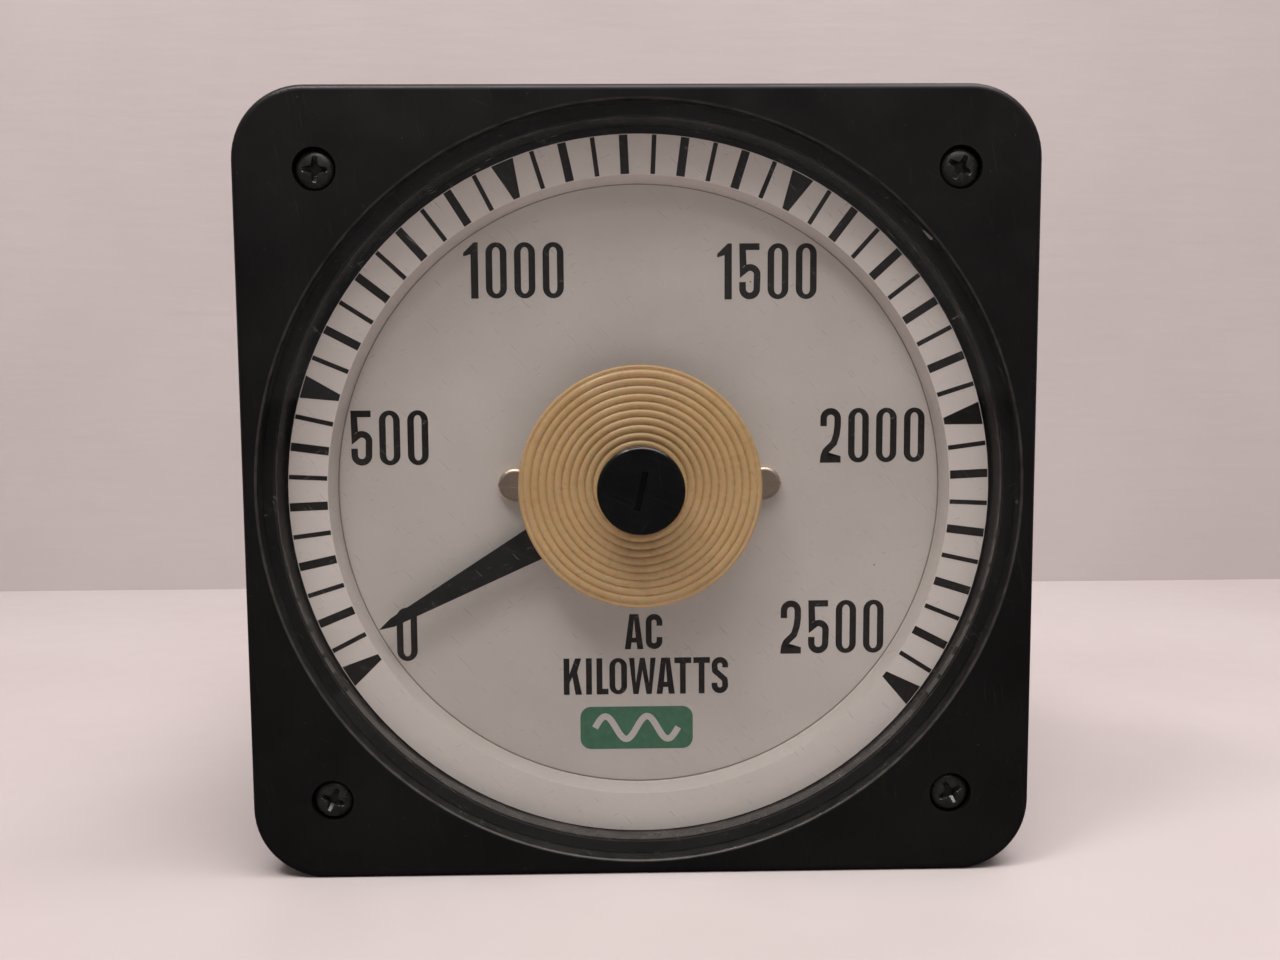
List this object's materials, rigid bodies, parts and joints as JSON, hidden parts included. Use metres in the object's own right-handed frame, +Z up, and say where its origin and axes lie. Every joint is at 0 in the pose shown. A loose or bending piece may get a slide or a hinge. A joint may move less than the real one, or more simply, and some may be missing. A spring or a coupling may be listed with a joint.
{
  "type": "analog dial electric meter",
  "caption": "Square-flange switchboard meter with a round window, long circular scale, black pointer, ribbed hub cover and centre zero adjuster on a barrel case.",
  "frame": {"origin": "centre of the four mounting studs, on the rear face of the case flange that seats on the panel", "axes": "+X to the reader's right, +Y into the panel along the barrel and the pointer's axis, +Z up; the dial faces -Y"},
  "size_m": [0.11, 0.12, 0.11],
  "materials": {
    "cover_black": "satin",
    "case_black": "matte",
    "window_clear": "gloss",
    "gasket_black": "matte",
    "screw_black": "satin",
    "insert_brass": "satin",
    "zinc_steel": "satin",
    "terminal_brass": "satin",
    "adjuster_black": "gloss",
    "hub_cream": "gloss",
    "hub_pin": "satin",
    "scale_white": "satin",
    "dial_white": "satin",
    "screw_nickel": "polished",
    "movement_aluminium": "satin",
    "jewel_red": "gloss",
    "steel_pin": "polished",
    "spring_bronze": "polished",
    "pointer_black": "matte",
    "winding_copper": "gloss",
    "soft_iron": "satin",
    "magnet_alloy": "matte",
    "lead_sleeve": "matte",
    "board_green": "satin",
    "chip_black": "matte",
    "can_blue": "gloss",
    "resistor_tan": "satin",
    "trimmer_blue": "satin",
    "spacer_nylon": "satin",
    "label_silver": "satin"
  },
  "bodies": {
    "housing": {"front_cover": "cover_black", "case": "case_black", "mounting_flange": "case_black", "back_plate": "case_black", "window": "window_clear", "cover_gasket": "gasket_black", "window_gasket": "gasket_black", "zero_adjuster_seal": "gasket_black", "cover_screws": "screw_black", "cover_inserts": "insert_brass", "dial_posts": "insert_brass", "mounting_studs": "zinc_steel", "terminal_washers": "zinc_steel", "movement_screws": "zinc_steel", "pole_ring_screws": "zinc_steel", "board_screws": "zinc_steel", "core_yoke_screws": "zinc_steel", "rear_bridge_screws": "zinc_steel", "front_bridge_screws": "zinc_steel", "terminal_studs": "terminal_brass", "terminal_nuts": "terminal_brass", "hub_cover": "hub_cream", "hub_cover_pins": "hub_pin", "scale_ring": "scale_white", "dial_plate": "dial_white", "dial_screws": "screw_nickel", "front_bridge": "movement_aluminium", "rear_bridge": "movement_aluminium", "movement_frame": "movement_aluminium", "pivot_jewels": "jewel_red", "stop_pins": "steel_pin", "front_jewel_screw": "steel_pin", "rear_jewel_screw": "steel_pin", "rear_hairspring": "spring_bronze", "transformer_windings": "winding_copper", "outer_pole_ring": "soft_iron", "core_ring": "soft_iron", "core_yoke": "soft_iron", "transformer_cores": "soft_iron", "magnet": "magnet_alloy", "movement_leads": "lead_sleeve", "transducer_board": "board_green", "input_board": "board_green", "amplifier_chips": "chip_black", "transducer_capacitors": "can_blue", "transducer_resistors": "resistor_tan", "calibration_trimmers": "trimmer_blue", "board_spacers": "spacer_nylon", "rating_label": "label_silver"},
    "pointer_assembly": {"pointer": "pointer_black", "pointer_hub": "movement_aluminium", "balance_weights": "insert_brass", "staff": "steel_pin", "coil_former": "movement_aluminium", "coil_winding": "winding_copper", "coil_arms": "movement_aluminium"},
    "adjuster": {"zero_adjuster": "adjuster_black", "zero_adjuster_driver": "adjuster_black"},
    "lever_assembly": {"zero_lever": "movement_aluminium", "front_hairspring": "spring_bronze"}
  },
  "joints": [
    {"name": "pointer_swing", "type": "hinge", "parent": "housing", "child": "pointer_assembly", "pos_m": [0, -0.008, 0], "axis": [0, 1, 0], "range_deg": [-5, 250], "stiffness_Nm_per_rad": 0.0001},
    {"name": "zero_adjuster_turn", "type": "hinge", "parent": "housing", "child": "adjuster", "pos_m": [0, -0.016, 0], "axis": [0, 1, 0], "range_deg": [-20, 20]},
    {"name": "zero_lever_turn", "type": "hinge", "parent": "housing", "child": "lever_assembly", "pos_m": [0, -0.0105, 0], "axis": [0, 1, 0], "range_deg": [-20, 20]}
  ],
  "couplings": [
    {"joint": "zero_lever_turn", "follows": "zero_adjuster_turn", "ratio": 1}
  ]
}
